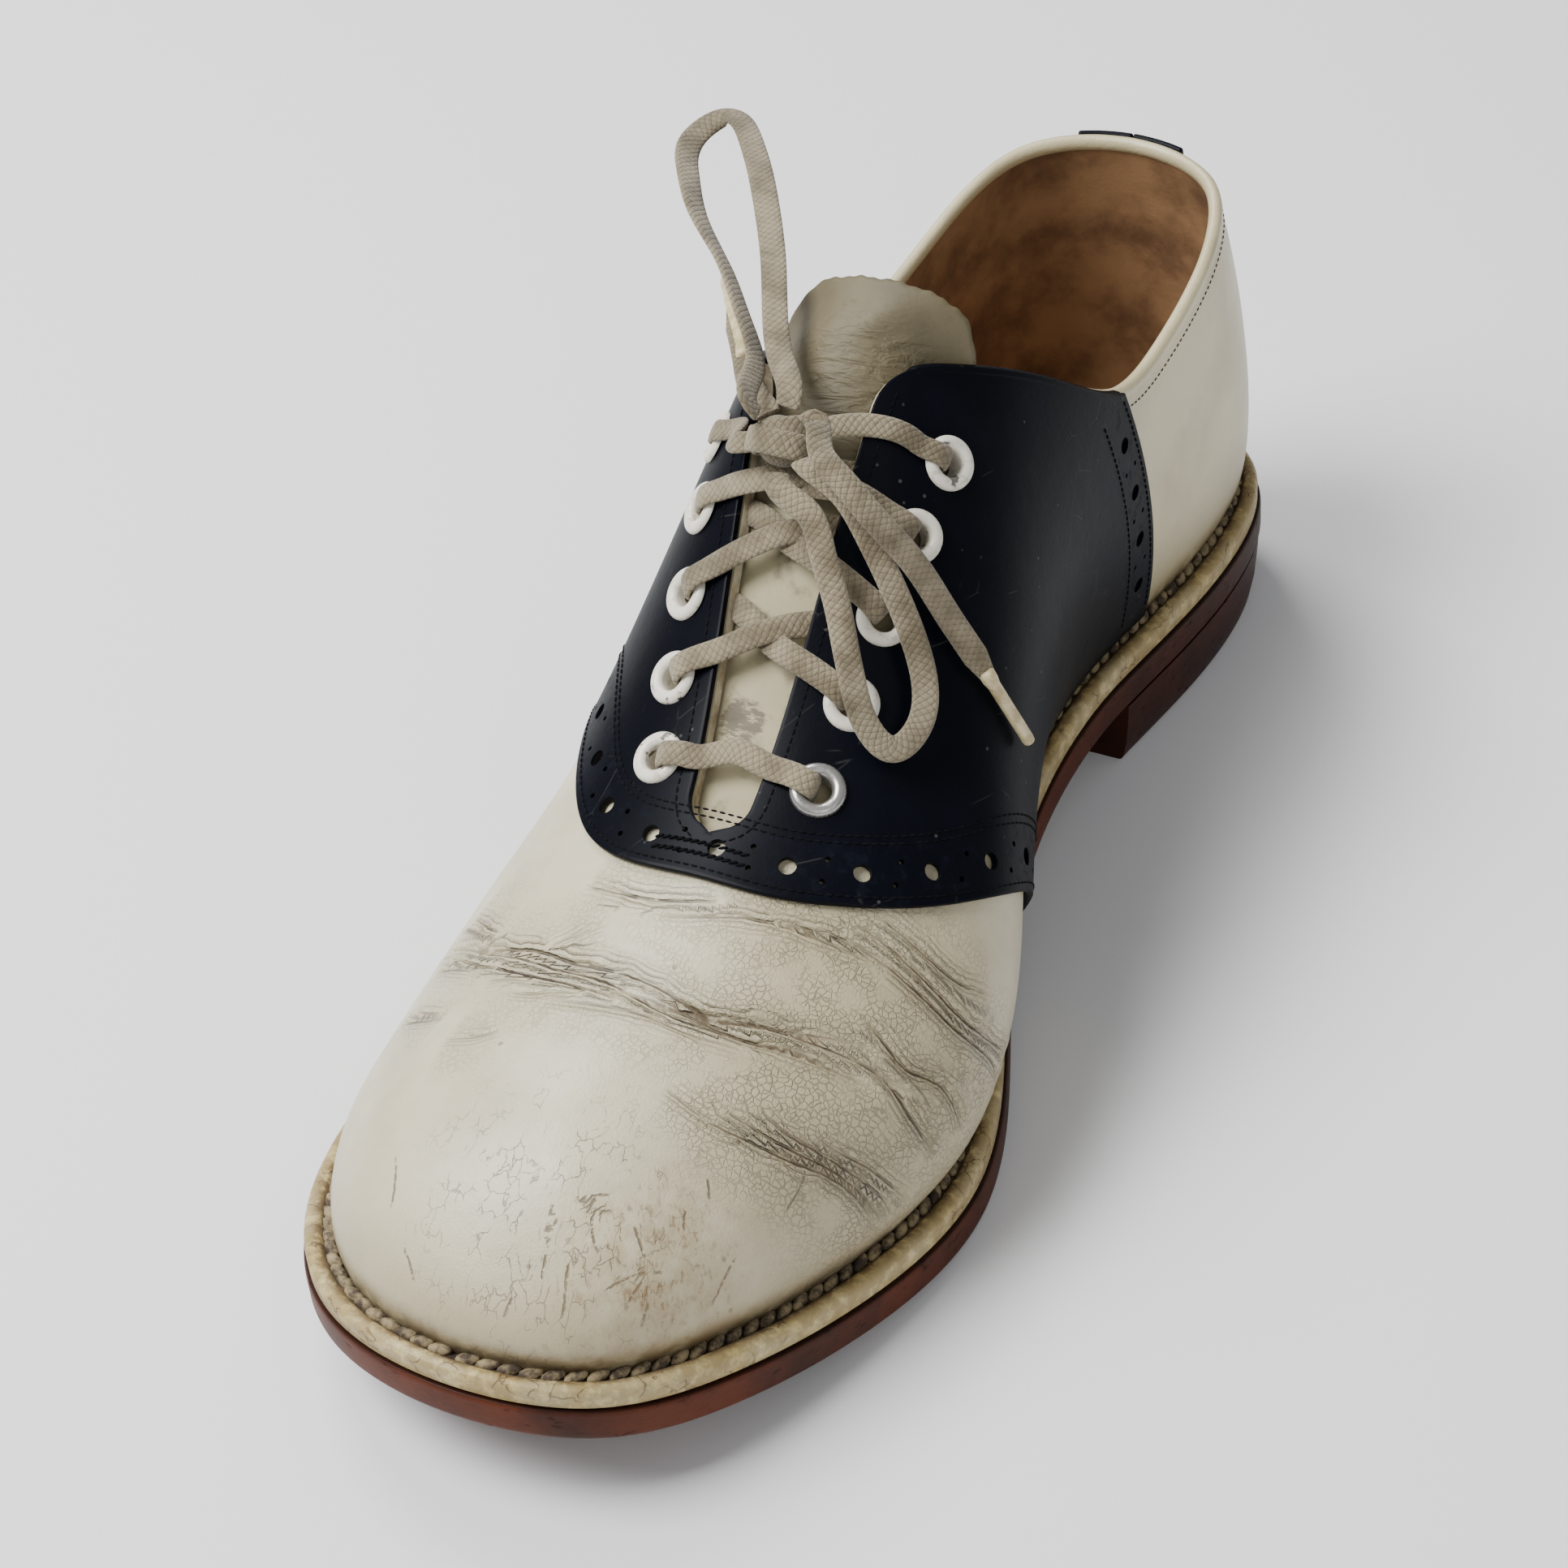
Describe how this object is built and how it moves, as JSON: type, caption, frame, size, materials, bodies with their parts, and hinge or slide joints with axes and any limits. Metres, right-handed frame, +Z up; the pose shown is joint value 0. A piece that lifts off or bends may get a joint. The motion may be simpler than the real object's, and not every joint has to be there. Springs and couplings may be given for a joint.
{
  "type": "laced saddle shoe",
  "caption": "Low laced leather shoe for the right foot: pale upper with a dark saddle over the instep, cream welt, brick rubber sole and a tied flat lace.",
  "frame": {"origin": "centre of the shoe's bounding box, on the floor under the sole", "axes": "-Y towards the toe, +X towards the inner side of the foot, +Z up"},
  "size_m": [0.1074, 0.2868, 0.1305],
  "materials": {
    "brick_rubber": "worn matte",
    "cream_welt": "grimy satin with coarse stitching",
    "tan_leather": "worn matte",
    "white_leather": "creased satin",
    "navy_leather": "polished",
    "grey_leather": "soft matte",
    "cream_metal": "worn gloss",
    "cotton_lace": "flat braid",
    "aglet_plastic": "satin"
  },
  "bodies": {
    "root": {"outsole": "brick_rubber", "heel": "brick_rubber", "welt": "cream_welt", "insole": "tan_leather", "upper": "white_leather", "saddle": "navy_leather", "heel_tab": "navy_leather", "tongue": "grey_leather", "lace_bar_5": "cotton_lace", "lace_crossing_4": "cotton_lace", "lace_crossing_3": "cotton_lace", "lace_crossing_2": "cotton_lace", "lace_strand_1_medial": "cotton_lace", "lace_strand_1_lateral": "cotton_lace", "lace_knot": "cotton_lace", "lace_loop_hanging": "cotton_lace", "lace_loop_standing": "cotton_lace", "lace_end_medial": "cotton_lace", "lace_end_lateral": "cotton_lace", "aglet_medial": "aglet_plastic", "aglet_lateral": "aglet_plastic", "eyelet_medial_1": "cream_metal", "eyelet_medial_2": "cream_metal", "eyelet_medial_3": "cream_metal", "eyelet_medial_4": "cream_metal", "eyelet_medial_5": "cream_metal", "eyelet_lateral_1": "cream_metal", "eyelet_lateral_2": "cream_metal", "eyelet_lateral_3": "cream_metal", "eyelet_lateral_4": "cream_metal", "eyelet_lateral_5": "cream_metal"}
  },
  "joints": []
}
